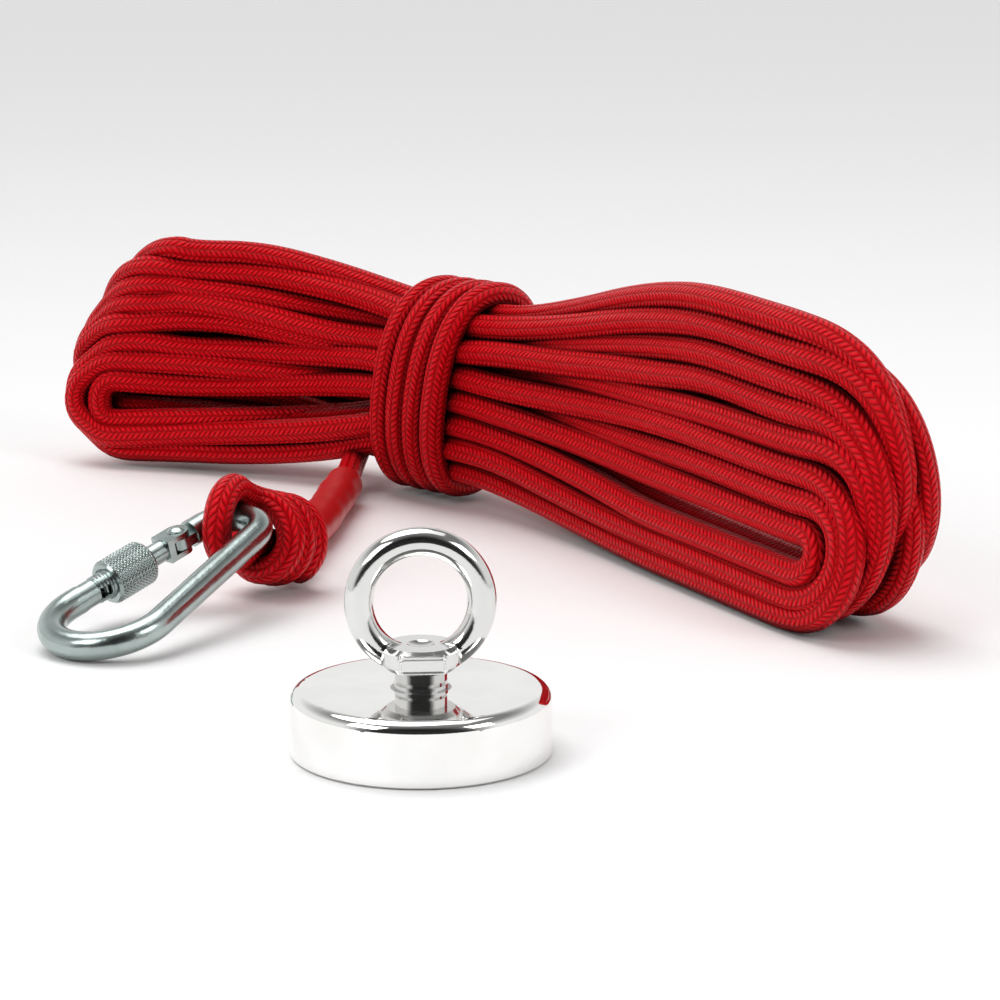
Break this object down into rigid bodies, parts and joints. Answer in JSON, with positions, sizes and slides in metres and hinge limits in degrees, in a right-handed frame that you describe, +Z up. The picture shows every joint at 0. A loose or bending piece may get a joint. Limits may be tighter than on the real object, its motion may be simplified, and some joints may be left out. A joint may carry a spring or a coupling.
{
  "type": "magnet fishing set",
  "caption": "Round pot magnet with a forged lifting eye, beside a hank of braided rope tied to a screw-lock spring hook.",
  "frame": {"origin": "centre of the magnet's working face, on the floor", "axes": "+Z up through the eyebolt, out of the magnet's back; +Y towards the rope; +X to the right"},
  "size_m": [0.2641, 0.3843, 0.0865],
  "materials": {
    "nickel": "bright nickel plate, mirror smooth",
    "bush_steel": "turned steel",
    "magnet_coat": "nickel coat on sintered magnet",
    "resin": "poured black resin",
    "zinc_wire": "bright zinc plate, drawn wire",
    "zinc_knurl": "zinc plate over diamond knurl",
    "spring_steel": "drawn spring wire",
    "rope_red": "braided polyester sheath",
    "sleeve_red": "shrunk polyolefin tube, satin"
  },
  "bodies": {
    "magnet": {"steel_pot": "nickel", "centre_pole": "bush_steel", "magnet_ring": "magnet_coat", "resin_outer": "resin", "resin_inner": "resin"},
    "washer": {"lock_washer": "nickel"},
    "eye_bolt": {"eye_bolt": "nickel"},
    "rope": {"rope_knot": "rope_red", "rope_lead": "rope_red", "heat_shrink_sleeve": "sleeve_red", "rope_hank": "rope_red", "rope_wraps": "rope_red"},
    "hook": {"hook_body": "zinc_wire", "gate_rivet": "zinc_wire"},
    "gate": {"gate": "zinc_wire", "gate_spring": "spring_steel", "latch_pin": "bush_steel"},
    "plunger": {"spring_plunger": "bush_steel"},
    "nut": {"locking_nut": "zinc_knurl"}
  },
  "joints": [
    {"name": "washer_lift", "type": "slide", "parent": "magnet", "child": "washer", "axis": [0, 0, 1], "range_m": [0, 0.0113]},
    {"name": "eye_bolt_turn", "type": "hinge", "parent": "washer", "child": "eye_bolt", "pos_m": [0, 0, 0.02], "axis": [0, 0, 1], "range_deg": [0, 3240]},
    {"name": "rope_place", "type": "slide", "parent": "magnet", "child": "rope", "axis": [0, 0, 1], "range_m": [0, 0.15]},
    {"name": "hook_swing", "type": "hinge", "parent": "rope", "child": "hook", "pos_m": [-0.051, 0.136, 0.024], "axis": [-0.8192, 0.5736, 0], "range_deg": [0, 60]},
    {"name": "gate_hinge", "type": "hinge", "parent": "hook", "child": "gate", "pos_m": [-0.06882, 0.12886, 0.01933], "axis": [-0.16, -0.2286, 0.9603], "range_deg": [0, 28], "stiffness_Nm_per_rad": 0.03, "springref_deg": -28.65},
    {"name": "plunger_slide", "type": "slide", "parent": "gate", "child": "plunger", "axis": [-0.6499, -0.7079, -0.2768], "range_m": [0, 0.0009], "deforming": ["gate_spring"]},
    {"name": "nut_slide", "type": "slide", "parent": "gate", "child": "nut", "axis": [-0.6499, -0.7079, -0.2768], "range_m": [0, 0.0085]}
  ],
  "couplings": [
    {"joint": "washer_lift", "follows": "eye_bolt_turn", "m_per_rad": 0.00019894},
    {"joint": "plunger_slide", "follows": "gate_hinge", "m_per_rad": 0.001637}
  ]
}
